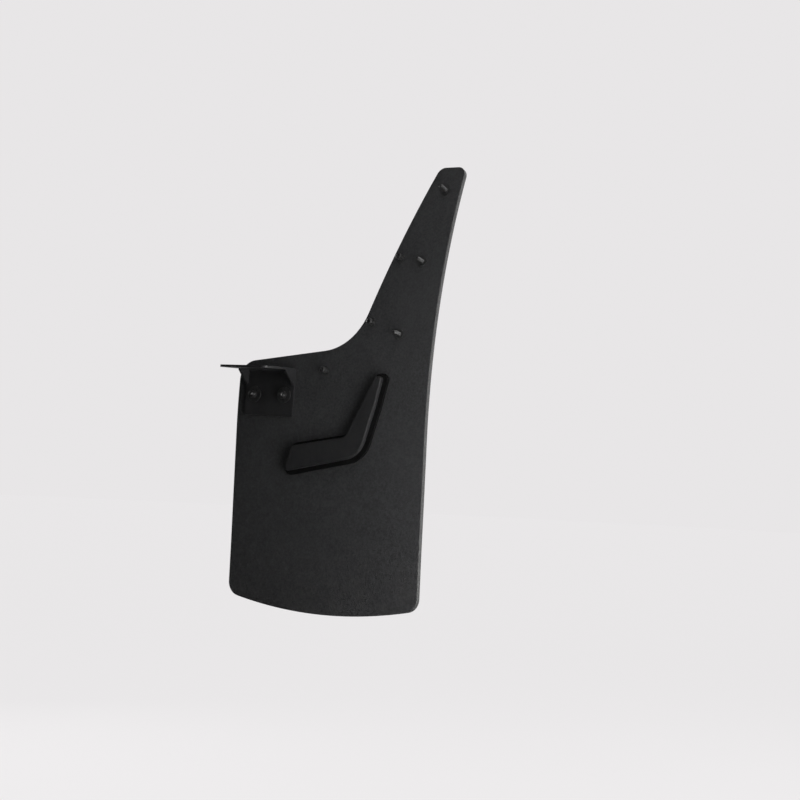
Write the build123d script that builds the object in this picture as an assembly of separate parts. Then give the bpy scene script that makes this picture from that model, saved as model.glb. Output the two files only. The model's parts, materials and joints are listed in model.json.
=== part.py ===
"""Rear mud flap for the right-hand side of a pickup truck.

A thick rubber sheet hangs behind the wheel.  Above its flat panel it curves forward with the wheel arch and narrows
to a tail.  An L-shaped moulding behind the sheet and a steel plate in front of it clamp the rubber, and the free
part below swings about the lower edge of that clamp.  A steel bracket takes the weight at the bumper, screws along
the tail take the fender lip, and push rivets take the wheel liner.

Units are millimetres.  +X points outboard, +Y forward to the tyre and +Z up.  Everything is drawn about the clamp's
corner screw, where it leaves the rear face of the rubber, and is then moved so that the origin lies in the middle
of the bracket's two slots, on its top face.
"""

from build123d import *
import math
import os

# ---- rubber sheet -------------------------------------------------------------------------------------------------
RUBBER = 6.4                      # thickness
WIDTH = 305.0
OUTER_X = 100.0                   # outboard edge
INNER_X = OUTER_X - WIDTH         # inboard edge
BOTTOM_Z = -222.6                 # lowest point of the bowed bottom edge
BOTTOM_RADIUS = 680.0
BOTTOM_CORNER = 19.0
SHOULDER_Z = 105.0                # top of the inboard edge
SHOULDER_CORNER = 26.0
NECK = (-20.0, 128.0)             # where the shoulder turns up into the tail
NECK_RADIUS = 75.0
TOP_Z = 367.0
TAIL_WIDTH = 40.0                 # at the top
TAIL_CORNER = 12.0
BEND_START_Z = 15.0               # flat below this height, curved forward above it
BEND_RADIUS = 945.0               # of the rear face
FLEX_Z = -46.0                    # height of the line about which the free part swings
FLEX_CLEARANCE = 0.4

# ---- shared hardware sizes ----------------------------------------------------------------------------------------
THREAD = 3.0                      # M6 radius
NECK_SHANK = 2.7                  # screw between its head and its thread
THREADED_BORE = 3.05
CLEARANCE_BORE = 3.3
SLEEVE = 5.0                      # outside radius of the steel sleeves in the rubber
SLEEVE_HOLE = 5.05
SEAT = 0.1                        # flat pieces stand this far off the curved faces
HEAD_FLANGE = 7.0                 # button head screws
HEAD_FLANGE_HEIGHT = 1.2
HEAD = 5.4
HEAD_HEIGHT = 3.4
SOCKET_ACROSS = 4.0
SOCKET_DEPTH = 2.2
TIP_CHAMFER = 0.7

# ---- clamp --------------------------------------------------------------------------------------------------------
CLAMP_SCREWS = [(15.5, 52.0), (0.0, 0.0), (-48.0, -8.5), (-94.0, -17.0)]
PLATE = 2.5                       # steel plate in front of the rubber
PLATE_WIDTH = 25.0
BEAD_WIDTH = 8.0
BEAD_HEIGHT = 1.4
BEAD_SHORT = 15.0                 # the bead stops this far from each screw
GASKET = 4.4
GASKET_BORDER = 4.5               # shows round the moulding
GASKET_SHIFT = (2.0, -1.0)        # it shows more outboard and below than inboard and above
MOULDING = 5.6                    # thickness
MOULDING_WALL = 2.4
MOULDING_EDGE = 1.8               # radius of its rear edge
BOSS = 9.0                        # radius, around each captive nut
BOSS_FLOOR = 1.0                  # plastic between a sleeve and its captive nut
NUT_SQUARE = 10.0
NUT_SQUARE_HEIGHT = 3.2
POCKET_CLEARANCE = 0.1
CLAMP_SCREW_REACH = 8.8           # beyond the rear face

# ---- tail ---------------------------------------------------------------------------------------------------------
LIP_SCREWS = [(48.0, 145.0), (66.0, 240.0), (78.0, 335.0)]
STRIP = 2.0
STRIP_WIDTH = 22.0
LIP_SCREW_REACH = 14.0
RETAINER = 1.0                    # nylon washer behind the rubber that keeps a screw in the sheet
RETAINER_RADIUS = 6.5
RETAINER_BORE = 2.8

# ---- push rivets --------------------------------------------------------------------------------------------------
RIVETS = {"inner": (-62.0, 96.0), "middle": (4.0, 160.0), "upper": (33.0, 245.0)}
RIVET = 4.0                       # radius behind the rubber
RIVET_SHOULDER = 4.8              # radius inside it
RIVET_HOLE = 4.9
RIVET_BORE = 2.2
RIVET_HEAD = 9.0
RIVET_HEAD_HEIGHT = 2.4
RIVET_REACH = 10.0
RIVET_NOTCH = (2.4, 1.0)          # width and depth, in the head's rim, for the tool that lifts the pin
RIVET_SLIT = 0.8
RIVET_SLIT_LENGTH = 7.0
PIN = 2.1
PIN_HEAD = 4.4
PIN_HEAD_HEIGHT = 1.5
PIN_SHORT = 1.0                   # the pin ends this far inside the shank

# ---- bracket ------------------------------------------------------------------------------------------------------
BRACKET_X = -150.0
BRACKET_WIDTH = 80.0
BRACKET_METAL = 3.0
BRACKET_TOP_Z = 98.0
BRACKET_BOLT_Z = 62.0
BRACKET_BELOW = 28.0              # upright leg below its bolts
BRACKET_BOLTS = 50.0              # spacing
BRACKET_TRAVEL = 7.0              # each way along the upright leg's slots
BRACKET_REACH = 64.0              # level leg, rearward
BRACKET_CORNER = 8.0
BEND_INSIDE = 3.0
GUSSET = 20.0
GUSSET_METAL = 3.0
HANGER_Y = -38.0
HANGER_SPACING = 44.0
HANGER_SLOT_WIDTH = 8.5
HANGER_SLOT_LENGTH = 18.0
BACKING = 2.0
BACKING_SIZE = (76.0, 24.0)
WASHER = 1.6
WASHER_RADIUS = 11.0
HEX_ACROSS = 10.0
HEX_HEIGHT = 5.0
COLLAR_HEIGHT = 1.6
COLLAR_RADIUS = 4.6
NYLON_RADIUS = 3.9
BOLT_PROUD = 2.0                  # thread beyond the nut

BIG = 420.0                       # longer than anything here
BEND_END = 25.0                   # degrees, above the top of the tail


# ---- the curved sheet as a place to put things --------------------------------------------------------------------
def lean(z):
    """Angle of the sheet from the vertical, in radians, where its rear face is at height z."""
    return math.asin(max(0.0, z - BEND_START_Z) / BEND_RADIUS)


def seat(x, z):
    """Plane on the rear face: its +Z points out of the rear face, its +Y up along the sheet."""
    angle = lean(z)
    y = BEND_RADIUS * (1 - math.cos(angle))
    return Plane(origin=(x, y, z), x_dir=(1, 0, 0), z_dir=(0, -math.cos(angle), math.sin(angle)))


def layer(near, far):
    """Everything between two depths in front of the rear face, curved as the sheet is."""
    centre = (BEND_RADIUS, BEND_START_Z)
    near_arc = CenterArc(centre, BEND_RADIUS - near, 180 - BEND_END, BEND_END)
    far_arc = CenterArc(centre, BEND_RADIUS - far, 180 - BEND_END, BEND_END)
    side = [
        Line((near, -BIG), (near, BEND_START_Z)),
        near_arc,
        Line(near_arc @ 0, far_arc @ 0),
        far_arc,
        Line((far, BEND_START_Z), (far, -BIG)),
        Line((far, -BIG), (near, -BIG)),
    ]
    return extrude(Plane.YZ * make_face(side), BIG, both=True)


def through(outline):
    """An outline drawn in X and Z, extruded right through the sheet."""
    return extrude(Plane.XZ * outline, BIG, both=True)


def cut_from_layer(outline, near, far):
    return layer(near, far) & through(outline)


def depth(point):
    """Distance in front of the rear face."""
    if point.Z <= BEND_START_Z:
        return point.Y
    return BEND_RADIUS - math.hypot(point.Y - BEND_RADIUS, point.Z - BEND_START_Z)


def edges_at_depth(part, level):
    """The rim of a layer's face, without the seam where the flat meets the curve."""
    rim = []
    for edge in part.edges():
        points = [edge @ 0, edge @ 0.5, edge @ 1]
        on_face = all(abs(depth(point) - level) < 0.01 for point in points)
        seam = all(abs(point.Z - BEND_START_Z) < 0.01 for point in points)
        if on_face and not seam:
            rim.append(edge)
    return rim


# ---- small shapes -------------------------------------------------------------------------------------------------
def disc(radius, low, high):
    return Pos(0, 0, (low + high) / 2) * Cylinder(radius, high - low)


def ring(outer, inner, low, high):
    return disc(outer, low, high) - disc(inner, low - 1, high + 1)


def block(size_x, size_y, low, high):
    return Pos(0, 0, (low + high) / 2) * Box(size_x, size_y, high - low)


def at_each(places, piece):
    """The same piece at every place on the sheet, as separate solids."""
    return Compound(children=[seat(x, z) * piece for x, z in places])


def bores(places, radius):
    return [seat(x, z) * disc(radius, -40, 40) for x, z in places]


def band(points, width):
    """A round-ended band through the points, drawn in X and Z."""
    outline = Sketch()
    for start, end in zip(points, points[1:]):
        turn = math.degrees(math.atan2(end[1] - start[1], end[0] - start[0]))
        middle = ((start[0] + end[0]) / 2, (start[1] + end[1]) / 2)
        outline += Pos(*middle) * Rot(0, 0, turn) * SlotCenterToCenter(math.dist(start, end), width)
    return outline


def rounded(corners):
    """A closed outline from (point, corner radius) pairs."""
    return make_face(FilletPolyline(*[c[0] for c in corners], radius=[c[1] for c in corners], close=True))


def button_screw(head_face, thread_start, reach):
    """M6 button-head screw, pointing rearward, with its head's bearing face at head_face."""
    screw = disc(THREAD, thread_start, reach)
    screw = chamfer(screw.edges().sort_by(Axis.Z)[-1], TIP_CHAMFER)
    flange = disc(HEAD_FLANGE, head_face - HEAD_FLANGE_HEIGHT, head_face)
    flange = fillet(flange.edges().sort_by(Axis.Z)[0], HEAD_FLANGE_HEIGHT / 2)
    dome = disc(HEAD, head_face - HEAD_HEIGHT, head_face)
    dome = fillet(dome.edges().sort_by(Axis.Z)[0], HEAD_HEIGHT / 2)
    socket = extrude(RegularPolygon(SOCKET_ACROSS / 2, 6, major_radius=False), SOCKET_DEPTH)
    shank = disc(NECK_SHANK, head_face - 1, thread_start + 1)
    return screw + shank + flange + dome - Pos(0, 0, head_face - HEAD_HEIGHT) * socket


# ---- rubber -------------------------------------------------------------------------------------------------------
def sheet_outline():
    """The whole sheet in X and Z: bowed bottom, straight outboard edge, shoulder and tail."""
    half = WIDTH / 2
    rise = BOTTOM_RADIUS - math.sqrt(BOTTOM_RADIUS**2 - half**2)
    middle = INNER_X + half
    tail = OUTER_X - TAIL_WIDTH
    edges = [
        ThreePointArc((INNER_X, BOTTOM_Z + rise), (middle, BOTTOM_Z), (OUTER_X, BOTTOM_Z + rise)),
        Line((OUTER_X, BOTTOM_Z + rise), (OUTER_X, TOP_Z)),
        Line((OUTER_X, TOP_Z), (tail, TOP_Z)),
        Line((tail, TOP_Z), NECK),
        Line(NECK, (INNER_X, SHOULDER_Z)),
        Line((INNER_X, SHOULDER_Z), (INNER_X, BOTTOM_Z + rise)),
    ]
    outline = Sketch() + make_face(edges)
    by_height = outline.vertices().sort_by(Axis.Y)
    outline = fillet(by_height[:2], BOTTOM_CORNER)
    by_height = outline.vertices().sort_by(Axis.Y)
    shoulder, neck, top = by_height[-4], by_height[-3], by_height[-2:]
    outline = fillet(shoulder, SHOULDER_CORNER)
    neck = outline.vertices().sort_by_distance((*NECK, 0))[0]
    outline = fillet(neck, NECK_RADIUS)
    top = outline.vertices().sort_by(Axis.Y)[-2:]
    return fillet(top, TAIL_CORNER)


def flex_axis(radius):
    """A bar along the flex line, in the middle of the rubber's thickness."""
    return Pos(INNER_X + WIDTH / 2, RUBBER / 2, FLEX_Z) * Rot(0, 90, 0) * Cylinder(radius, WIDTH)


def half_space(low, high):
    """Everything between two heights."""
    return Pos(0, 0, (low + high) / 2) * Box(2 * BIG, 2 * BIG, high - low)


def flap_upper():
    sheet = cut_from_layer(sheet_outline(), 0, RUBBER) & half_space(FLEX_Z, BIG)
    sheet -= flex_axis(RUBBER / 2 + FLEX_CLEARANCE)
    sheet -= bores(CLAMP_SCREWS, SLEEVE_HOLE)
    sheet -= bores(LIP_SCREWS, SLEEVE_HOLE)
    sheet -= bores(bracket_bolt_places(), SLEEVE_HOLE)
    return sheet - bores(RIVETS.values(), RIVET_HOLE)


def flap_lower():
    sheet = cut_from_layer(sheet_outline(), 0, RUBBER) & half_space(-BIG, FLEX_Z)
    return sheet + flex_axis(RUBBER / 2)


# ---- clamp --------------------------------------------------------------------------------------------------------
def moulding_outline(inset=0.0):
    """The L shape: the long leg runs inboard and a little down, the short one up towards the tail."""
    outline = rounded([
        ((34.5, 90.0), 4.5),
        ((26.0, 51.0), 60.0),
        ((5.7, -14.7), 36.0),
        ((-114.5, -38.7), 4.0),
        ((-103.3, -4.0), 7.0),
        ((-17.3, 10.0), 16.0),
        ((24.7, 90.0), 4.5),
    ])
    return offset(outline, -inset, kind=Kind.INTERSECTION) if inset else outline


def retainer_moulding():
    front = -GASKET
    back = -GASKET - MOULDING
    body = cut_from_layer(moulding_outline(), back, front)
    body = fillet(edges_at_depth(body, back), MOULDING_EDGE)
    body -= cut_from_layer(moulding_outline(MOULDING_WALL), back + MOULDING_WALL, front + 1)
    boss = disc(BOSS, GASKET, GASKET + MOULDING - MOULDING_WALL / 2)
    body += [(seat(x, z) * boss) & through(moulding_outline(0.5)) for x, z in CLAMP_SCREWS]
    size = NUT_SQUARE + 2 * POCKET_CLEARANCE
    low, high = nut_span()
    pocket = block(size, size, low - POCKET_CLEARANCE, high + POCKET_CLEARANCE)
    pocket += disc(CLEARANCE_BORE, GASKET - 1, CLAMP_SCREW_REACH + 0.4)
    return body - [seat(x, z) * pocket for x, z in CLAMP_SCREWS]


def nut_span():
    """Where the captive nuts lie behind the rear face."""
    low = GASKET + BOSS_FLOOR
    return low, low + NUT_SQUARE_HEIGHT


def captive_nuts():
    low, high = nut_span()
    nut = block(NUT_SQUARE, NUT_SQUARE, low, high)
    nut = chamfer(nut.edges().filter_by(Axis.Z), 0.6)
    return at_each(CLAMP_SCREWS, nut - disc(THREADED_BORE, low - 1, high + 1))


def moulding_gasket():
    outline = Pos(*GASKET_SHIFT) * moulding_outline(-GASKET_BORDER)
    return cut_from_layer(outline, -GASKET, 0) - bores(CLAMP_SCREWS, SLEEVE_HOLE)


def clamp_sleeves():
    return at_each(CLAMP_SCREWS, ring(SLEEVE, CLEARANCE_BORE, -RUBBER, GASKET))


def clamp_plate():
    face = RUBBER + PLATE
    plate = cut_from_layer(band(CLAMP_SCREWS, PLATE_WIDTH), RUBBER, face)
    plate = chamfer(edges_at_depth(plate, face), 0.5)
    for start, end in zip(CLAMP_SCREWS, CLAMP_SCREWS[1:]):
        share = BEAD_SHORT / math.dist(start, end)
        first = [a + (b - a) * share for a, b in zip(start, end)]
        last = [b + (a - b) * share for a, b in zip(start, end)]
        bead = cut_from_layer(band([first, last], BEAD_WIDTH), face - 0.5, face + BEAD_HEIGHT)
        plate += chamfer(edges_at_depth(bead, face + BEAD_HEIGHT), BEAD_HEIGHT * 0.8)
    return plate - bores(CLAMP_SCREWS, CLEARANCE_BORE)


def clamp_screws():
    return at_each(CLAMP_SCREWS, button_screw(-RUBBER - PLATE - SEAT, GASKET, CLAMP_SCREW_REACH))


# ---- tail ---------------------------------------------------------------------------------------------------------
def lip_strip():
    face = RUBBER + STRIP
    strip = cut_from_layer(band(LIP_SCREWS, STRIP_WIDTH), RUBBER, face)
    strip = chamfer(edges_at_depth(strip, face), 0.5)
    return strip - bores(LIP_SCREWS, CLEARANCE_BORE)


def lip_screws():
    return at_each(LIP_SCREWS, button_screw(-RUBBER - STRIP - SEAT, SEAT + RETAINER, LIP_SCREW_REACH))


def lip_sleeves():
    return at_each(LIP_SCREWS, ring(SLEEVE, CLEARANCE_BORE, -RUBBER, 0))


def lip_retainers():
    washer = ring(RETAINER_RADIUS, RETAINER_BORE, SEAT, SEAT + RETAINER)
    return at_each(LIP_SCREWS, washer)


# ---- push rivets --------------------------------------------------------------------------------------------------
def liner_rivets():
    face = -RUBBER - SEAT
    head = disc(RIVET_HEAD, face - RIVET_HEAD_HEIGHT, face)
    head = fillet(head.edges().sort_by(Axis.Z)[0], RIVET_HEAD_HEIGHT * 0.7)
    notch_width, notch_depth = RIVET_NOTCH
    notch_floor = face - RIVET_HEAD_HEIGHT + notch_depth
    head -= block(3 * RIVET_HEAD, notch_width, face - RIVET_HEAD_HEIGHT - 1, notch_floor)
    shank = disc(RIVET, -1, RIVET_REACH)
    shank = chamfer(shank.edges().sort_by(Axis.Z)[-1], TIP_CHAMFER)
    shank += disc(RIVET_SHOULDER, face - 1, 0)
    slit = block(4 * RIVET, RIVET_SLIT, RIVET_REACH - RIVET_SLIT_LENGTH, RIVET_REACH + 1)
    rivet = head + shank - disc(RIVET_BORE, -40, 40) - [Rot(0, 0, turn) * slit for turn in (45, 135)]
    return at_each(RIVETS.values(), rivet)


def rivet_pin(place):
    face = -RUBBER - SEAT - RIVET_HEAD_HEIGHT - SEAT
    head = disc(PIN_HEAD, face - PIN_HEAD_HEIGHT, face)
    head = fillet(head.edges().sort_by(Axis.Z)[0], PIN_HEAD_HEIGHT * 0.6)
    return seat(*place) * (head + disc(PIN, face - 1, RIVET_REACH - PIN_SHORT))


# ---- bracket ------------------------------------------------------------------------------------------------------
def bracket_bolt_places():
    return [(BRACKET_X + side * BRACKET_BOLTS / 2, BRACKET_BOLT_Z) for side in (-1, 1)]


def bracket_outside():
    """How far the upright leg's rear face stands behind the rubber."""
    return SEAT + BRACKET_METAL


def leg_point(stand_off, height=None, along=None):
    """A point in Y and Z on a line parallel to the upright leg, at a height or a distance along it."""
    angle = lean(BRACKET_BOLT_Z)
    base = seat(BRACKET_X, BRACKET_BOLT_Z).origin
    y = base.Y - stand_off * math.cos(angle)
    z = base.Z + stand_off * math.sin(angle)
    if height is not None:
        along = (height - z) / math.cos(angle)
    return y + along * math.sin(angle), z + along * math.cos(angle)


def support_bracket():
    under = BRACKET_TOP_Z - BRACKET_METAL
    outside = bracket_outside()
    profile = Polyline(
        leg_point(SEAT, along=-BRACKET_BELOW),
        leg_point(SEAT, height=BRACKET_TOP_Z),
        (-BRACKET_REACH, BRACKET_TOP_Z),
        (-BRACKET_REACH, under),
        leg_point(outside, height=under),
        leg_point(outside, along=-BRACKET_BELOW),
        close=True,
    )
    bracket = Pos(BRACKET_X, 0, 0) * extrude(Plane.YZ * make_face(profile), BRACKET_WIDTH / 2, both=True)
    along_x = bracket.edges().filter_by(Axis.X)
    inside = along_x.sort_by_distance((BRACKET_X, *leg_point(outside, height=under)))[0]
    bracket = fillet(inside, BEND_INSIDE)
    outer_bend = bracket.edges().filter_by(Axis.X).sort_by_distance(
        (BRACKET_X, *leg_point(SEAT, height=BRACKET_TOP_Z)))[0]
    bracket = fillet(outer_bend, BEND_INSIDE + BRACKET_METAL)
    ends = bracket.edges().filter_by(Axis.Z).sort_by(Axis.Y)[:2]
    bracket = fillet(ends, BRACKET_CORNER)

    triangle = Polyline(
        leg_point(outside - 0.5, height=under + 0.5),
        (leg_point(outside, height=under)[0] - GUSSET, under + 0.5),
        (leg_point(outside, height=under)[0] - GUSSET, under - 1.5),
        leg_point(outside + 1.5, height=under - GUSSET),
        leg_point(outside - 0.5, height=under - GUSSET),
        close=True,
    )
    gusset = extrude(Plane.YZ * make_face(triangle), GUSSET_METAL)
    half = BRACKET_WIDTH / 2
    bracket += Pos(BRACKET_X - half, 0, 0) * gusset
    bracket += Pos(BRACKET_X + half - GUSSET_METAL, 0, 0) * gusset

    slot = SlotOverall(2 * (BRACKET_TRAVEL + CLEARANCE_BORE + POCKET_CLEARANCE), 2 * CLEARANCE_BORE, rotation=90)
    upright_slot = extrude(slot, 10, both=True)
    bracket -= [seat(x, z) * upright_slot for x, z in bracket_bolt_places()]
    level_slot = extrude(SlotOverall(HANGER_SLOT_LENGTH, HANGER_SLOT_WIDTH), 10, both=True)
    for side in (-1, 1):
        bracket -= Pos(BRACKET_X + side * HANGER_SPACING / 2, HANGER_Y, BRACKET_TOP_Z) * level_slot
    return bracket


def backing_plate():
    face = -RUBBER - SEAT
    plate = block(*BACKING_SIZE, face - BACKING, face)
    plate = fillet(plate.edges().filter_by(Axis.Z), 6)
    plate = chamfer(plate.faces().sort_by(Axis.Z)[0].edges(), 0.4)
    for side in (-1, 1):
        plate -= Pos(side * BRACKET_BOLTS / 2, 0, 0) * disc(CLEARANCE_BORE, -40, 40)
    return seat(BRACKET_X, BRACKET_BOLT_Z) * plate


def bracket_sleeves():
    return at_each(bracket_bolt_places(), ring(SLEEVE, CLEARANCE_BORE, -RUBBER, 0))


def bracket_washers():
    low = bracket_outside() + SEAT / 2
    washer = ring(WASHER_RADIUS, CLEARANCE_BORE, low, low + WASHER)
    return at_each(bracket_bolt_places(), washer)


def lock_nut_base():
    return bracket_outside() + SEAT / 2 + WASHER


def lock_nuts():
    """Hexagon with a round collar that holds the nylon ring."""
    low = lock_nut_base()
    top = low + HEX_HEIGHT
    hexagon = Pos(0, 0, low) * extrude(RegularPolygon(HEX_ACROSS / 2, 6, major_radius=False), HEX_HEIGHT)
    cone = Pos(0, 0, low + HEX_HEIGHT / 2) * Cone(HEX_ACROSS / 2 + 1.6, HEX_ACROSS / 2 - 0.1, HEX_HEIGHT)
    collar = disc(COLLAR_RADIUS, top - 0.5, top + COLLAR_HEIGHT)
    collar = fillet(collar.edges().sort_by(Axis.Z)[-1], 0.5)
    nut = (hexagon & cone) + collar - disc(THREADED_BORE, -40, 40)
    return at_each(bracket_bolt_places(), nut - disc(NYLON_RADIUS, top + 0.2, top + COLLAR_HEIGHT + 1))


def nylon_rings():
    top = lock_nut_base() + HEX_HEIGHT
    nylon = ring(NYLON_RADIUS - 0.05, THREADED_BORE, top + 0.25, top + COLLAR_HEIGHT - 0.1)
    return at_each(bracket_bolt_places(), nylon)


def bracket_bolts():
    reach = lock_nut_base() + HEX_HEIGHT + COLLAR_HEIGHT + BOLT_PROUD
    return at_each(bracket_bolt_places(), button_screw(-RUBBER - SEAT - BACKING, 0, reach))


# ---- the nodes ----------------------------------------------------------------------------------------------------
def nodes():
    made = {
        "flap_upper": flap_upper(),
        "flap_lower": flap_lower(),
        "retainer_moulding": retainer_moulding(),
        "captive_nuts": captive_nuts(),
        "moulding_gasket": moulding_gasket(),
        "clamp_sleeves": clamp_sleeves(),
        "clamp_plate": clamp_plate(),
        "clamp_screws": clamp_screws(),
        "lip_strip": lip_strip(),
        "lip_screws": lip_screws(),
        "lip_sleeves": lip_sleeves(),
        "lip_retainers": lip_retainers(),
        "liner_rivets": liner_rivets(),
        "support_bracket": support_bracket(),
        "backing_plate": backing_plate(),
        "bracket_sleeves": bracket_sleeves(),
        "bracket_washers": bracket_washers(),
        "lock_nuts": lock_nuts(),
        "nylon_rings": nylon_rings(),
        "bracket_bolts": bracket_bolts(),
    }
    for name, place in RIVETS.items():
        made[f"rivet_pin_{name}"] = rivet_pin(place)
    return made


to_origin = Pos(-BRACKET_X, -HANGER_Y, -BRACKET_TOP_Z)
os.makedirs("parts", exist_ok=True)
for name, shape in nodes().items():
    export_step(to_origin * shape, f"parts/{name}.step")
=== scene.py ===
"""Looks for the rear mud flap: its rubber sheet, moulding and hardware, in metres, in the CAD's frame."""

import json
import math

import bmesh
import bpy
from mathutils import Matrix, Vector, noise


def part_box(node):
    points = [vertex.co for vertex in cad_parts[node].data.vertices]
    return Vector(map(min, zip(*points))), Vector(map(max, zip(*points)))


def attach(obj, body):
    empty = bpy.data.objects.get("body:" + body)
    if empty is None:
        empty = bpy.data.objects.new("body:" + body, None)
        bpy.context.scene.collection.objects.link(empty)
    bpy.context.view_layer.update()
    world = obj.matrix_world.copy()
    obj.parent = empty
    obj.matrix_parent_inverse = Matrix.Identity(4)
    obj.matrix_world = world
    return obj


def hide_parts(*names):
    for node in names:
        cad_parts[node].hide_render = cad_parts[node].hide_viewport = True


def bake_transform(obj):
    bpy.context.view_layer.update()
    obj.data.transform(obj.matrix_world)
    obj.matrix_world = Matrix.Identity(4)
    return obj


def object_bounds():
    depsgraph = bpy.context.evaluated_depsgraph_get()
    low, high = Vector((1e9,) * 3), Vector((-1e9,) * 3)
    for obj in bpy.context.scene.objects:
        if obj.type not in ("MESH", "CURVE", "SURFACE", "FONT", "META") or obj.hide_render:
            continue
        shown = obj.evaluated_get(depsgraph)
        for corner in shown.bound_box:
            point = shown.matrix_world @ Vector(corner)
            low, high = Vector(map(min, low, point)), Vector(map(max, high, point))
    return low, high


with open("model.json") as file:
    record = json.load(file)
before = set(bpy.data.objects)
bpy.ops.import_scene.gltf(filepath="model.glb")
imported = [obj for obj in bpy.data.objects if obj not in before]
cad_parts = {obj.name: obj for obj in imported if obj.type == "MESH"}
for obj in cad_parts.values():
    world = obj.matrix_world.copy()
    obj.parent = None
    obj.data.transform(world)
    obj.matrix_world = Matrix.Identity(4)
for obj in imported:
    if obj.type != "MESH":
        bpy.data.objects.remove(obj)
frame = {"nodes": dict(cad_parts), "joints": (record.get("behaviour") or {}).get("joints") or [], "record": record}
cad_low, cad_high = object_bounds()

MM = 0.001

# ---- what the frame says ----------------------------------------------------------------------------------
lower_low, lower_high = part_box("flap_lower")
LEFT, RIGHT = lower_low.x, lower_high.x
BOTTOM, TOP = lower_low.z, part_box("flap_upper")[1].z
REAR_Y, RUBBER = lower_low.y, lower_high.y - lower_low.y
FLEX_Z = next(j["pos_m"][2] for j in frame["joints"] if j["name"] == "flap_flex")
MOUNTS = {m["name"]: (Vector(m["pos_m"]), Vector(m["axis"])) for m in frame["record"]["mounts"]}
LIP_SCREW_NAMES = ("low", "middle", "top")
RIVET_NAMES = ("inner", "middle", "upper")

# ---- rubber sheet -----------------------------------------------------------------------------------------
CORNER_Z = FLEX_Z + 46 * MM          # height of the clamp's corner screw
BEND_START = CORNER_Z + 15 * MM      # flat below, curved forward above
BEND_RADIUS = 945 * MM               # of the rear face
BOTTOM_RADIUS = 680 * MM
BOTTOM_CORNER = 19 * MM
SHOULDER_Z = CORNER_Z + 105 * MM
SHOULDER_CORNER = 26 * MM
NECK = (RIGHT - 120 * MM, CORNER_Z + 128 * MM)
NECK_RADIUS = 75 * MM
TAIL_WIDTH = 40 * MM
TAIL_CORNER = 12 * MM
CUT_RADIUS = 0.45 * MM               # the knife leaves the edges almost sharp
GRID = 4 * MM
SLEEVE_HOLE = 5.05 * MM
RIVET_HOLE = 4.9 * MM
CLAMP_SCREWS = [
    (RIGHT - 84.5 * MM, CORNER_Z + 52 * MM),
    (RIGHT - 100 * MM, CORNER_Z),
    (RIGHT - 148 * MM, CORNER_Z - 8.5 * MM),
    (RIGHT - 194 * MM, CORNER_Z - 17 * MM),
]
BRACKET_BOLTS = [(side * 25 * MM, CORNER_Z + 62 * MM) for side in (-1, 1)]

# ---- the free part ----------------------------------------------------------------------------------------
WAVE_START = 6 * MM                  # below the flex line
WAVE_FADE = 80 * MM                  # over which the waviness grows
WAVE_HEIGHT = 1.0 * MM

# ---- what the screws and rivets pass through, and how far they reach --------------------------------------
SEAT = 0.1 * MM                      # flat pieces stand this far off the curved faces
STRIP = 2.0 * MM                     # these three lie under the screws' heads
PLATE = 2.5 * MM
BACKING = 2.0 * MM
GASKET = 4.4 * MM
RETAINER = 1.0 * MM
LIP_SCREW_REACH = 14 * MM            # all reaches are from the rear face
CLAMP_SCREW_REACH = 8.8 * MM
BRACKET_BOLT_REACH = 13.35 * MM
RIVET_REACH = 10 * MM

# ---- button-head screws, M6 -------------------------------------------------------------------------------
THREAD = 3.0 * MM                    # these are radii
NECK_SHANK = 2.7 * MM
HEAD_FLANGE = 7.0 * MM
HEAD = 5.4 * MM
HEAD_FLANGE_HEIGHT = 1.2 * MM
HEAD_HEIGHT = 3.4 * MM
THREAD_DEPTH = 0.55 * MM
PITCH = 1.0 * MM
SOCKET = 2.0 * MM                    # half across flats
SOCKET_DEPTH = 2.2 * MM
SOCKET_CHAMFER = 0.25 * MM
TIP_TAPER = 0.7 * MM

# ---- pieces that are shown as the CAD has them ------------------------------------------------------------
EDGE = 0.3 * MM                      # their softened edges

# ---- view -------------------------------------------------------------------------------------------------
VIEW_YAW = math.radians(34.5)        # from the rear, on the outboard side
VIEW_PITCH = math.radians(2.7)       # a little downward
INSTALLED_LEAN = math.radians(4.84)  # the flap leans on the vehicle and stands upright here
VIEW_DISTANCE = 2.616
VIEW_RIGHT = 89.0 * MM               # the middle of the flap is left of the middle of the picture
VIEW_DOWN = 14.5 * MM
LENS = 90.0
GROUND = BOTTOM - 400 * MM
BACKDROP_TONE = (0.806, 0.791, 0.798)
BACKDROP_GLOW = 0.985
FLOOR_GLOW = 0.5
AMBIENT = (0.03, 0.42)               # behind the flap, and on the tyre side


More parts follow.
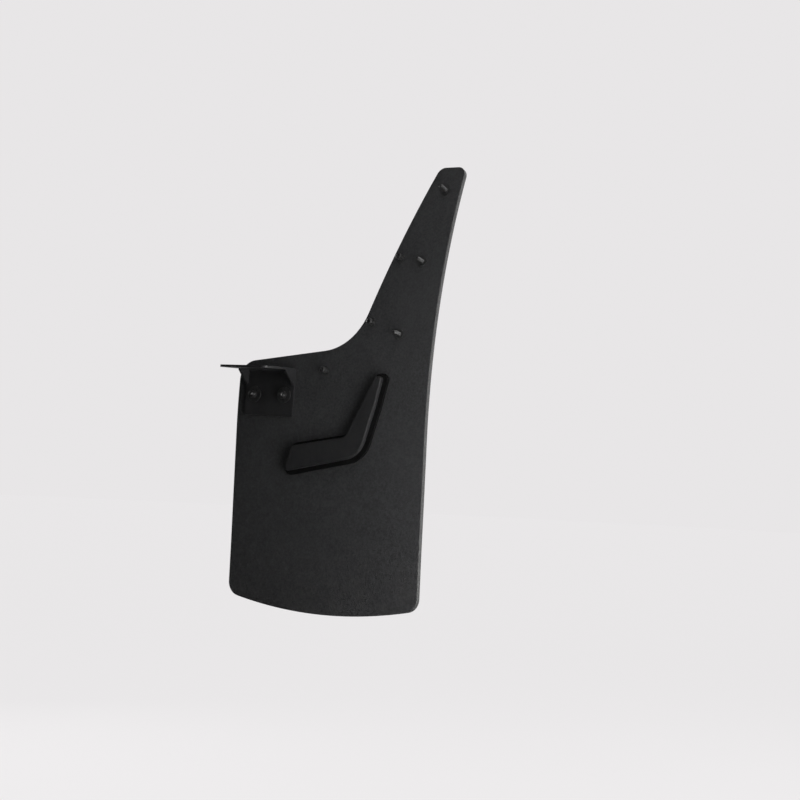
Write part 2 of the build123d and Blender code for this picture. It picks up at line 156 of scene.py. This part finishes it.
# ---- materials --------------------------------------------------------------------------------------------
class Paint:
    """A node material with a Principled shader and short calls for the nodes used here."""

    def __init__(self, name, color, roughness, metallic=0.0):
        self.material = bpy.data.materials.new(name)
        self.material.use_nodes = True
        self.tree = self.material.node_tree
        self.shader = self.tree.nodes["Principled BSDF"]
        self.shader.inputs["Base Color"].default_value = (*color, 1)
        self.shader.inputs["Roughness"].default_value = roughness
        self.shader.inputs["Metallic"].default_value = metallic
        self.place = self.tree.nodes.new("ShaderNodeTexCoord").outputs["Object"]
        self.height = None

    def link(self, output, socket):
        self.tree.links.new(output, socket)
        return socket

    def stretched(self, scale, turn=(0, 0, 0)):
        """Coordinates along axes that are turned first and then scaled."""
        node = self.tree.nodes.new("ShaderNodeMapping")
        node.vector_type = "TEXTURE"
        node.inputs["Rotation"].default_value = turn
        node.inputs["Scale"].default_value = [1 / number for number in scale]
        self.link(self.place, node.inputs["Vector"])
        return node.outputs["Vector"]

    def noise(self, scale, detail=4.0, roughness=0.55, stretch=(1, 1, 1), distortion=0.0, turn=(0, 0, 0)):
        node = self.tree.nodes.new("ShaderNodeTexNoise")
        node.inputs["Scale"].default_value = scale
        node.inputs["Detail"].default_value = detail
        node.inputs["Roughness"].default_value = roughness
        node.inputs["Distortion"].default_value = distortion
        self.link(self.stretched(stretch, turn), node.inputs["Vector"])
        return node.outputs["Fac"]

    def cells(self, scale, stretch=(1, 1, 1)):
        node = self.tree.nodes.new("ShaderNodeTexVoronoi")
        node.inputs["Scale"].default_value = scale
        self.link(self.stretched(stretch), node.inputs["Vector"])
        return node.outputs["Distance"]

    def remap(self, value, low, high, to_low=0.0, to_high=1.0):
        node = self.tree.nodes.new("ShaderNodeMapRange")
        for name, number in zip(("From Min", "From Max", "To Min", "To Max"), (low, high, to_low, to_high)):
            node.inputs[name].default_value = number
        self.link(value, node.inputs["Value"])
        return node.outputs["Result"]

    def math(self, operation, a, b):
        node = self.tree.nodes.new("ShaderNodeMath")
        node.operation = operation
        for socket, value in zip(node.inputs, (a, b)):
            if isinstance(value, (int, float)):
                socket.default_value = value
            else:
                self.link(value, socket)
        return node.outputs["Value"]

    def mix(self, factor, first, second):
        node = self.tree.nodes.new("ShaderNodeMix")
        node.data_type = "RGBA"
        self.link(factor, node.inputs["Factor"])
        for socket, value in ((node.inputs["A"], first), (node.inputs["B"], second)):
            if isinstance(value, tuple):
                socket.default_value = (*value, 1)
            else:
                self.link(value, socket)
        return node.outputs["Result"]

    def color(self, output):
        self.link(output, self.shader.inputs["Base Color"])

    def rough(self, output):
        self.link(output, self.shader.inputs["Roughness"])

    def bump(self, output, distance, strength=1.0):
        """Each call adds a finer layer of relief over the one before."""
        node = self.tree.nodes.new("ShaderNodeBump")
        node.inputs["Distance"].default_value = distance
        node.inputs["Strength"].default_value = strength
        self.link(output, node.inputs["Height"])
        if self.height is not None:
            self.link(self.height, node.inputs["Normal"])
        self.height = node.outputs["Normal"]
        self.link(self.height, self.shader.inputs["Normal"])

    def along(self, axis):
        node = self.tree.nodes.new("ShaderNodeSeparateXYZ")
        self.link(self.place, node.inputs["Vector"])
        return node.outputs[axis]


def rubber_face():
    """Matt black skin: a soft cloudy bloom, a fine pebble, pale specks and a few long faint scuffs."""
    paint = Paint("rubber_face", (0.025, 0.025, 0.027), 0.72)
    paint.shader.inputs["Specular IOR Level"].default_value = 0.35
    cloud = paint.remap(paint.noise(9, 5, 0.6), 0.3, 0.72)
    body = paint.mix(cloud, (0.0155, 0.0155, 0.0162), (0.0212, 0.0212, 0.0222))
    mottle = paint.remap(paint.noise(330, 5, 0.8), 0.38, 0.64)
    body = paint.mix(paint.math("MULTIPLY", mottle, 0.8), body, (0.0410, 0.0410, 0.0428))
    speck = paint.remap(paint.noise(1500, 2, 0.6), 0.60, 0.78)
    body = paint.mix(paint.math("MULTIPLY", speck, 0.45), body, (0.070, 0.070, 0.071))
    scuff = paint.remap(paint.noise(26, 5, 0.75, stretch=(9, 9, 0.7), distortion=0.4), 0.66, 0.76)
    body = paint.mix(paint.math("MULTIPLY", scuff, 0.16), body, (0.075, 0.074, 0.072))
    low = paint.remap(paint.along("Z"), BOTTOM + 0.11, BOTTOM, 0.0, 0.22)
    dust = paint.math("MULTIPLY", paint.remap(paint.noise(34, 6, 0.7), 0.42, 0.75), low)
    paint.color(paint.mix(dust, body, (0.072, 0.068, 0.063)))
    paint.rough(paint.remap(paint.noise(60, 4, 0.6), 0.3, 0.7, 0.64, 0.82))
    paint.bump(paint.noise(22, 2, 0.4), 1.2 * MM, 0.10)
    paint.bump(paint.cells(820), 0.16 * MM, 0.40)
    paint.bump(paint.noise(2400, 2, 0.5), 0.06 * MM, 0.5)
    return paint.material


def rubber_cut():
    """The raw cut edge: greyer than the skin, with fine marks of the knife across it."""
    paint = Paint("rubber_cut", (0.07, 0.07, 0.07), 0.8)
    paint.shader.inputs["Specular IOR Level"].default_value = 0.3
    patch = paint.remap(paint.noise(40, 5, 0.65), 0.3, 0.7)
    body = paint.mix(patch, (0.038, 0.038, 0.038), (0.056, 0.056, 0.056))
    mark = paint.remap(paint.noise(700, 3, 0.6, stretch=(1, 0.12, 1)), 0.35, 0.7)
    paint.color(paint.mix(mark, body, (0.074, 0.074, 0.073)))
    paint.bump(paint.noise(900, 3, 0.6, stretch=(1, 0.1, 1)), 0.12 * MM, 0.6)
    paint.bump(paint.noise(1800, 2, 0.5), 0.08 * MM, 0.5)
    return paint.material


def moulded_plastic():
    """Spark-textured black polypropylene."""
    paint = Paint("moulded_plastic", (0.013, 0.013, 0.014), 0.68)
    paint.shader.inputs["Specular IOR Level"].default_value = 0.3
    tone = paint.remap(paint.noise(30, 4, 0.6), 0.3, 0.7)
    paint.color(paint.mix(tone, (0.0120, 0.0120, 0.0128), (0.0165, 0.0165, 0.0172)))
    paint.rough(paint.remap(paint.noise(120, 4, 0.6), 0.3, 0.7, 0.60, 0.76))
    paint.bump(paint.cells(900), 0.14 * MM, 0.6)
    paint.bump(paint.noise(40, 2, 0.4), 0.6 * MM, 0.06)
    return paint.material


# The gasket's foam. Its near-black colour, darker than the rubber, is painted shadow: the border the gasket shows
# round the moulding stands in for the shade in the gap under the moulding's edge.
def foam():
    paint = Paint("foam", (0.004, 0.004, 0.004), 0.97)
    paint.shader.inputs["Specular IOR Level"].default_value = 0.08
    pore = paint.remap(paint.cells(1300), 0.1, 0.6)
    paint.color(paint.mix(pore, (0.0015, 0.0015, 0.0015), (0.0055, 0.0055, 0.0055)))
    paint.bump(pore, 0.3 * MM, 0.8)
    return paint.material


def zinc():
    paint = Paint("zinc", (0.62, 0.62, 0.6), 0.34, 1.0)
    cloud = paint.remap(paint.noise(160, 5, 0.65), 0.3, 0.7)
    paint.color(paint.mix(cloud, (0.54, 0.54, 0.53), (0.70, 0.70, 0.67)))
    paint.rough(paint.remap(paint.noise(300, 4, 0.6), 0.3, 0.7, 0.26, 0.46))
    paint.bump(paint.noise(1500, 3, 0.6), 0.05 * MM, 0.4)
    return paint.material


def powder_coat():
    paint = Paint("powder_coat", (0.014, 0.014, 0.015), 0.38)
    paint.shader.inputs["Coat Weight"].default_value = 0.15
    paint.shader.inputs["Coat Roughness"].default_value = 0.35
    tone = paint.remap(paint.noise(50, 4, 0.6), 0.3, 0.7)
    paint.color(paint.mix(tone, (0.0105, 0.0105, 0.0112), (0.0165, 0.0165, 0.0175)))
    paint.rough(paint.remap(paint.noise(240, 4, 0.6), 0.3, 0.7, 0.40, 0.56))
    paint.bump(paint.noise(620, 3, 0.5), 0.16 * MM, 0.35)
    return paint.material


def stainless():
    """Brushed along the strip, which leans outboard as it rises."""
    paint = Paint("stainless", (0.6, 0.6, 0.61), 0.3, 1.0)
    low, high = MOUNTS["lip_screw_low"][0], MOUNTS["lip_screw_top"][0]
    along = (0, math.atan2(high.x - low.x, high.z - low.z), 0)
    brush = paint.noise(1100, 3, 0.6, stretch=(1, 0.01, 0.01), turn=along)
    paint.color(paint.mix(paint.remap(brush, 0.3, 0.7), (0.50, 0.50, 0.51), (0.68, 0.68, 0.69)))
    paint.rough(paint.remap(brush, 0.3, 0.7, 0.26, 0.42))
    paint.bump(brush, 0.02 * MM, 0.3)
    return paint.material


def black_zinc():
    paint = Paint("black_zinc", (0.035, 0.035, 0.036), 0.36, 0.85)
    cloud = paint.remap(paint.noise(260, 5, 0.65), 0.3, 0.7)
    paint.color(paint.mix(cloud, (0.062, 0.062, 0.064), (0.105, 0.105, 0.103)))
    paint.rough(paint.remap(paint.noise(500, 4, 0.6), 0.3, 0.7, 0.28, 0.48))
    paint.bump(paint.noise(1500, 3, 0.6), 0.04 * MM, 0.4)
    return paint.material


def nylon():
    paint = Paint("nylon", (0.02, 0.02, 0.02), 0.45)
    tone = paint.remap(paint.noise(180, 4, 0.6), 0.3, 0.7)
    paint.color(paint.mix(tone, (0.016, 0.016, 0.016), (0.025, 0.025, 0.025)))
    paint.rough(paint.remap(paint.noise(400, 3, 0.6), 0.3, 0.7, 0.38, 0.55))
    paint.bump(paint.noise(1600, 3, 0.6), 0.05 * MM, 0.3)
    return paint.material


def floor_paint():
    """Pale and even. Most of its light is its own: the object sees only the tyre side of it glow."""
    paint = Paint("floor_paint", (0.03, 0.03, 0.03), 0.9)
    paint.shader.inputs["Specular IOR Level"].default_value = 0.1
    tone = paint.remap(paint.noise(3, 3, 0.5), 0.3, 0.7)
    paint.color(paint.mix(tone, (0.029, 0.0285, 0.0285), (0.031, 0.0305, 0.0305)))
    seen = paint.tree.nodes.new("ShaderNodeLightPath").outputs["Is Camera Ray"]
    tyre_side = paint.remap(paint.along("Y"), 0.2, 0.8, 0.0, FLOOR_GLOW)
    paint.shader.inputs["Emission Color"].default_value = (*BACKDROP_TONE, 1)
    glow = paint.math("MAXIMUM", paint.math("MULTIPLY", seen, BACKDROP_GLOW), tyre_side)
    paint.link(glow, paint.shader.inputs["Emission Strength"])
    return paint.material


# ---- outlines ---------------------------------------------------------------------------------------------
def rounded(corners, turn_step=math.radians(6)):
    """Points of a closed outline from (x, z, corner radius); corners turn through arcs, either way."""
    points = []
    count = len(corners)
    for i, (x, z, radius) in enumerate(corners):
        here = Vector((x, z))
        if radius == 0:
            points.append(here)
            continue
        before = (Vector(corners[i - 1][:2]) - here).normalized()
        after = (Vector(corners[(i + 1) % count][:2]) - here).normalized()
        opening = before.angle(after)
        turn = math.pi - opening
        run = radius / math.tan(opening / 2)
        centre = here + (before + after).normalized() * (radius / math.sin(opening / 2))
        start = here + before * run - centre
        side = 1 if before.x * after.y - before.y * after.x < 0 else -1
        steps = max(2, round(turn / turn_step))
        for k in range(steps + 1):
            angle = side * turn * k / steps
            spun = Matrix.Rotation(angle, 2) @ start
            points.append(centre + spun)
    return points


def bottom_z(x):
    """The bowed bottom edge."""
    return BOTTOM + BOTTOM_RADIUS - math.sqrt(BOTTOM_RADIUS**2 - (x - (LEFT + RIGHT) / 2) ** 2)


def sheet_outline():
    """Anticlockwise as seen from behind, starting at the inboard bottom corner."""
    corner_run = BOTTOM_CORNER * 0.95
    first = LEFT + corner_run
    last = RIGHT - corner_run
    steps = 60
    bow = [first + (last - first) * k / steps for k in range(steps + 1)]
    corners = [(LEFT, bottom_z(LEFT), BOTTOM_CORNER)]
    corners += [(x, bottom_z(x), 0) for x in bow]
    corners += [
        (RIGHT, bottom_z(RIGHT), BOTTOM_CORNER),
        (RIGHT, TOP, TAIL_CORNER),
        (RIGHT - TAIL_WIDTH, TOP, TAIL_CORNER),
        (*NECK, NECK_RADIUS),
        (LEFT, SHOULDER_Z, SHOULDER_CORNER),
    ]
    return rounded(corners)


# ---- rubber sheet -----------------------------------------------------------------------------------------
def bent(x, depth, z):
    """Where a point of the flat sheet goes: depth is in front of the rear face, z is its height."""
    if z <= BEND_START:
        return Vector((x, REAR_Y + depth, z))
    angle = math.asin((z - BEND_START) / BEND_RADIUS)
    reach = BEND_RADIUS - depth
    return Vector((x, REAR_Y + BEND_RADIUS - reach * math.cos(angle), BEND_START + reach * math.sin(angle)))


def lean(z):
    """Angle of the sheet from the vertical where its rear face is at height z."""
    return math.asin(max(0.0, z - BEND_START) / BEND_RADIUS)


def waviness(x, z):
    """The free part isn't quite flat: it rises and falls by a fraction of a millimetre."""
    free = min(1.0, max(0.0, (FLEX_Z - WAVE_START - z) / WAVE_FADE))
    return WAVE_HEIGHT * free * noise.noise(Vector((x * 9, z * 7, 3.1)))


def edge_profile():
    """(inset, depth) from the rear face round the cut edge to the tyre face."""
    quarter = [math.pi / 2 * k / 3 for k in range(4)]
    rear = [(CUT_RADIUS * (1 - math.sin(a)), CUT_RADIUS * (1 - math.cos(a))) for a in quarter]
    return rear + [(inset, RUBBER - depth) for inset, depth in reversed(rear)]


def inset_loop(points, inset):
    """The outline moved inward along its normals."""
    moved = []
    for i, here in enumerate(points):
        along = (points[(i + 1) % len(points)] - points[i - 1]).normalized()
        moved.append(here + Vector((-along.y, along.x)) * inset)
    return moved


def on_rear_face(name, middle):
    """X and Z of the place on the sheet's rear face where a mount's screw or rivet comes through."""
    position, axis = MOUNTS[name]
    foot = position - axis * middle
    return foot.x, foot.z


def lip_screws():
    """Each mount lies in the middle of its screw's free length."""
    middle = (SEAT + RETAINER + LIP_SCREW_REACH - TIP_TAPER) / 2
    return [on_rear_face(f"lip_screw_{name}", middle) for name in LIP_SCREW_NAMES]


def rivets():
    middle = (RIVET_REACH - TIP_TAPER) / 2
    return [on_rear_face(f"liner_rivet_{name}", middle) for name in RIVET_NAMES]


def new_piece(name, mesh, materials, sharp):
    """Turns a bmesh into a smooth-shaded object."""
    for face in mesh.faces:
        face.smooth = True
    data = bpy.data.meshes.new(name)
    mesh.to_mesh(data)
    mesh.free()
    piece = bpy.data.objects.new(name, data)
    bpy.context.scene.collection.objects.link(piece)
    for material in materials:
        data.materials.append(material)
    data.set_sharp_from_angle(angle=math.radians(sharp))
    return piece


def punched(mesh):
    """The flat sheet with its holes; they are drawn a little shorter where the bend will stretch them."""
    holes = [(place, SLEEVE_HOLE) for place in CLAMP_SCREWS + BRACKET_BOLTS + lip_screws()]
    holes += [(place, RIVET_HOLE) for place in rivets()]
    cutter = bmesh.new()
    for (x, z), radius in holes:
        squeeze = Matrix.Diagonal((1, 1, math.cos(lean(z)), 1))
        lying = Matrix.Translation((x, RUBBER / 2, z)) @ squeeze @ Matrix.Rotation(math.pi / 2, 4, "X")
        made = bmesh.ops.create_cone(
            cutter,
            cap_ends=True,
            segments=48,
            radius1=radius,
            radius2=radius,
            depth=4 * RUBBER,
            matrix=lying,
        )
        for vert in made["verts"]:
            for face in vert.link_faces:
                face.material_index = 1
    sheet = new_piece("flat_sheet", mesh, [], 180)
    punch = new_piece("punch", cutter, [], 180)
    cut = sheet.modifiers.new("holes", "BOOLEAN")
    cut.operation = "DIFFERENCE"
    cut.solver = "EXACT"
    cut.object = punch
    result = bmesh.new()
    result.from_object(sheet, bpy.context.evaluated_depsgraph_get())
    for spent in (sheet, punch):
        data = spent.data
        bpy.data.objects.remove(spent)
        bpy.data.meshes.remove(data)
    return result


def rubber_sheet(face, cut):
    outline = sheet_outline()
    mesh = bmesh.new()
    loops = []
    for inset, depth in edge_profile():
        loops.append([mesh.verts.new((p.x, depth, p.y)) for p in inset_loop(outline, inset)])
    count = len(outline)
    for near, far in zip(loops, loops[1:]):
        for i in range(count):
            rim = mesh.faces.new((near[i], far[i], far[(i + 1) % count], near[(i + 1) % count]))
            rim.material_index = 1
    mesh.faces.new(loops[0])
    mesh.faces.new(reversed(loops[-1]))
    for axis, low, high in ((0, LEFT, RIGHT), (2, BOTTOM, TOP)):
        normal = Vector((axis == 0, 0, axis == 2))
        place = low + GRID / 2
        while place < high:
            geometry = mesh.verts[:] + mesh.edges[:] + mesh.faces[:]
            bmesh.ops.bisect_plane(mesh, geom=geometry, dist=1e-6, plane_co=normal * place, plane_no=normal)
            place += GRID
    bmesh.ops.recalc_face_normals(mesh, faces=mesh.faces[:])
    mesh = punched(mesh)
    for vert in mesh.verts:
        x, depth, z = vert.co
        vert.co = bent(x, depth + waviness(x, z), z)
    piece = new_piece("rubber_sheet", mesh, [face, cut], sharp=50)
    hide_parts("flap_upper", "flap_lower")
    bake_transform(piece)


# ---- screws -----------------------------------------------------------------------------------------------
def seat(x, z):
    """The place on the rear face: its Z points out of the rear face, its Y up along the sheet."""
    angle = lean(z)
    origin = bent(x, 0, z)
    columns = (Vector((1, 0, 0)), Vector((0, math.sin(angle), math.cos(angle))),
               Vector((0, -math.cos(angle), math.sin(angle))))
    return Matrix.Translation(origin) @ Matrix(columns).transposed().to_4x4()


def circle(radius):
    return lambda angle: radius


def hexagon(apothem):
    return lambda angle: apothem / math.cos((angle % (math.pi / 3)) - math.pi / 6)


def thread(height, most):
    """One height of a helical thread, cut off at most so that the tip tapers."""
    def radius(angle):
        across = abs(2 * ((height / PITCH - angle / math.tau) % 1) - 1)
        flank = min(1.0, max(0.0, 1.35 * across - 0.15))
        return min(most, THREAD - THREAD_DEPTH * flank)
    return radius


def arc(centre, middle, radius, first, last, steps):
    """(height, radius of the turned piece) along a rounded corner of its profile."""
    made = []
    for k in range(steps + 1):
        angle = math.radians(first + (last - first) * k / steps)
        made.append((middle + radius * math.sin(angle), circle(centre + radius * math.cos(angle))))
    return made


def screw_rings(head_face, thread_start, reach):
    """The screw's profile, from the floor of its socket round the head and along the shank to the tip.

    Heights are measured from the sheet's rear face, rearward.
    """
    top = head_face - HEAD_HEIGHT
    floor = top + SOCKET_DEPTH
    rim = HEAD_FLANGE_HEIGHT / 2
    dome = HEAD_HEIGHT * 0.55
    rings = [
        (floor + 0.5 * MM, circle(0.4 * MM)),
        (floor, hexagon(SOCKET)),
        (top + SOCKET_CHAMFER, hexagon(SOCKET)),
        (top, hexagon(SOCKET + SOCKET_CHAMFER)),
    ]
    rings += arc(HEAD - dome, top + dome, dome, -90, 0, 8)
    rings.append((head_face - HEAD_FLANGE_HEIGHT, circle(HEAD)))
    rings += arc(HEAD_FLANGE - rim, head_face - rim, rim, -90, 90, 8)
    rings += [(head_face, circle(NECK_SHANK)), (thread_start, circle(NECK_SHANK))]
    height = thread_start
    while height < reach:
        most = min(THREAD, THREAD - TIP_TAPER + (reach - height))
        rings.append((height, thread(height, most)))
        height += PITCH / 8
    rings.append((reach, circle(THREAD - TIP_TAPER - 0.05 * MM)))
    return rings


def add_turned(mesh, place, rings, sides=48):
    """Adds a closed solid made of rings stacked along the place's axis."""
    loops = []
    for height, radius in rings:
        loop = []
        for i in range(sides):
            angle = math.tau * i / sides
            reach = radius(angle)
            point = Vector((reach * math.cos(angle), reach * math.sin(angle), height))
            loop.append(mesh.verts.new(place @ point))
        loops.append(loop)
    for low, high in zip(loops, loops[1:]):
        for i in range(sides):
            mesh.faces.new((low[i], low[(i + 1) % sides], high[(i + 1) % sides], high[i]))
    mesh.faces.new(reversed(loops[0]))
    mesh.faces.new(loops[-1])


def screws(node, places, head_stand_off, thread_start, reach, material):
    """Screws through the sheet, with their heads on what covers its tyre face."""
    head_face = -RUBBER - head_stand_off
    mesh = bmesh.new()
    for i, (x, z) in enumerate(places):
        turn = Matrix.Rotation(0.7 + 2.3 * i, 4, "Z")      # their sockets don't line up
        add_turned(mesh, seat(x, z) @ turn, screw_rings(head_face, thread_start, reach))
    bmesh.ops.recalc_face_normals(mesh, faces=mesh.faces[:])
    piece = new_piece(f"{node}_threaded", mesh, [material], sharp=38)
    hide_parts(node)
    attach(piece, "sheet")


# ---- CAD pieces that are shown as they are ----------------------------------------------------------------
def finish_node(name, material):
    """A material and softened edges for a CAD node."""
    node = frame["nodes"][name]
    node.data.materials.clear()
    node.data.materials.append(material)
    for face in node.data.polygons:
        face.use_smooth = True
        face.material_index = 0
    edge = node.modifiers.new("edge", "BEVEL")
    edge.width = EDGE
    edge.segments = 2
    edge.limit_method = "ANGLE"
    edge.angle_limit = math.radians(35)
    edge.harden_normals = True


# ---- stage ------------------------------------------------------------------------------------------------
def floor():
    """A wide disc. The world behind it has its colour, so that no horizon shows."""
    mesh = bmesh.new()
    sides = 48
    angles = [math.tau * i / sides for i in range(sides)]
    rings = []
    for radius in (0.5, 1.0, 2.0, 4.0, 8.0, 16.0):
        rings.append([mesh.verts.new((radius * math.cos(a), radius * math.sin(a), GROUND)) for a in angles])
    mesh.faces.new(rings[0])
    for near, far in zip(rings, rings[1:]):
        for i in range(sides):
            after = (i + 1) % sides
            mesh.faces.new((near[i], far[i], far[after], near[after]))
    new_piece("floor", mesh, [floor_paint()], sharp=30)


def softbox(name, size, power, offset):
    """A lamp at an offset from the middle of the object, facing it. Pictures don't show the lamp itself."""
    light = bpy.data.lights.new(name, "AREA")
    light.shape = "RECTANGLE"
    light.size, light.size_y = size
    light.energy = power
    lamp = bpy.data.objects.new(name, light)
    lamp.location = (cad_low + cad_high) / 2 + Vector(offset)
    lamp.rotation_mode = "QUATERNION"
    lamp.rotation_quaternion = (-Vector(offset)).to_track_quat("-Z", "Y")
    lamp.visible_camera = False
    bpy.context.scene.collection.objects.link(lamp)


def lights():
    softbox("key", (0.3, 0.8), 6.3, (0.58, -0.26, -0.20))
    softbox("tail_key", (0.3, 0.4), 2.1, (0.42, -0.38, 0.74))
    softbox("inboard_rim", (0.5, 0.8), 1.1, (-1.2, -0.25, 0.35))
    softbox("rear_fill", (1.6, 1.6), 0.4, (-0.6, -2.6, 1.2))
    softbox("tyre_side", (0.9, 1.2), 52, (0.7, 2.0, 1.0))
    softbox("tyre_rim", (0.5, 1.4), 16, (-1.6, 1.0, 0.4))
    softbox("top", (1.6, 1.6), 6, (0.1, 0.5, 2.0))
    world = bpy.data.worlds.new("studio")
    world.use_nodes = True
    tree = world.node_tree
    ambient = tree.nodes["Background"]
    ambient.inputs["Color"].default_value = (1, 1, 1, 1)
    direction = tree.nodes.new("ShaderNodeTexCoord")
    split = tree.nodes.new("ShaderNodeSeparateXYZ")
    tree.links.new(direction.outputs["Generated"], split.inputs["Vector"])
    forward = tree.nodes.new("ShaderNodeMapRange")
    for name, number in zip(("From Min", "From Max", "To Min", "To Max"), (-0.1, 0.5, *AMBIENT)):
        forward.inputs[name].default_value = number
    tree.links.new(split.outputs["Y"], forward.inputs["Value"])
    tree.links.new(forward.outputs["Result"], ambient.inputs["Strength"])
    seen = tree.nodes.new("ShaderNodeBackground")
    seen.inputs["Color"].default_value = (*BACKDROP_TONE, 1)
    choice = tree.nodes.new("ShaderNodeMixShader")
    path = tree.nodes.new("ShaderNodeLightPath")
    tree.links.new(path.outputs["Is Camera Ray"], choice.inputs["Fac"])
    tree.links.new(ambient.outputs["Background"], choice.inputs[1])
    tree.links.new(seen.outputs["Background"], choice.inputs[2])
    tree.links.new(choice.outputs["Shader"], tree.nodes["World Output"].inputs["Surface"])
    bpy.context.scene.world = world


def camera():
    data = bpy.data.cameras.new("camera")
    data.lens = LENS
    lens = bpy.data.objects.new("camera", data)
    turn = Matrix.Rotation(INSTALLED_LEAN, 3, "X") @ Matrix.Rotation(VIEW_YAW, 3, "Z")
    turn = turn @ Matrix.Rotation(math.pi / 2 - VIEW_PITCH, 3, "X")
    middle = (cad_low + cad_high) / 2
    place = middle + turn @ Vector((VIEW_RIGHT, -VIEW_DOWN, VIEW_DISTANCE))
    lens.matrix_world = Matrix.Translation(place) @ turn.to_4x4()
    bpy.context.scene.collection.objects.link(lens)
    bpy.context.scene.camera = lens


# ---- the scene --------------------------------------------------------------------------------------------
camera()
floor()
lights()
bpy.context.scene.view_settings.view_transform = "Standard"

rubber_sheet(rubber_face(), rubber_cut())

screw_finish = black_zinc()
screws("lip_screws", lip_screws(), STRIP + SEAT, SEAT + RETAINER, LIP_SCREW_REACH, screw_finish)
screws("clamp_screws", CLAMP_SCREWS, PLATE + SEAT, GASKET, CLAMP_SCREW_REACH, screw_finish)
screws("bracket_bolts", BRACKET_BOLTS, BACKING + SEAT, 0, BRACKET_BOLT_REACH, screw_finish)

rivet_pins = [f"rivet_pin_{name}" for name in RIVET_NAMES]
finishes = {
    moulded_plastic(): ["retainer_moulding"],
    # the gasket's near-black colour is painted shadow round the moulding
    foam(): ["moulding_gasket"],
    zinc(): ["captive_nuts", "clamp_sleeves", "lip_sleeves", "bracket_sleeves"],
    screw_finish: ["bracket_washers", "lock_nuts"],
    powder_coat(): ["clamp_plate", "support_bracket", "backing_plate"],
    stainless(): ["lip_strip"],
    nylon(): ["lip_retainers", "liner_rivets", "nylon_rings", *rivet_pins],
}
for material, names in finishes.items():
    for name in names:
        finish_node(name, material)
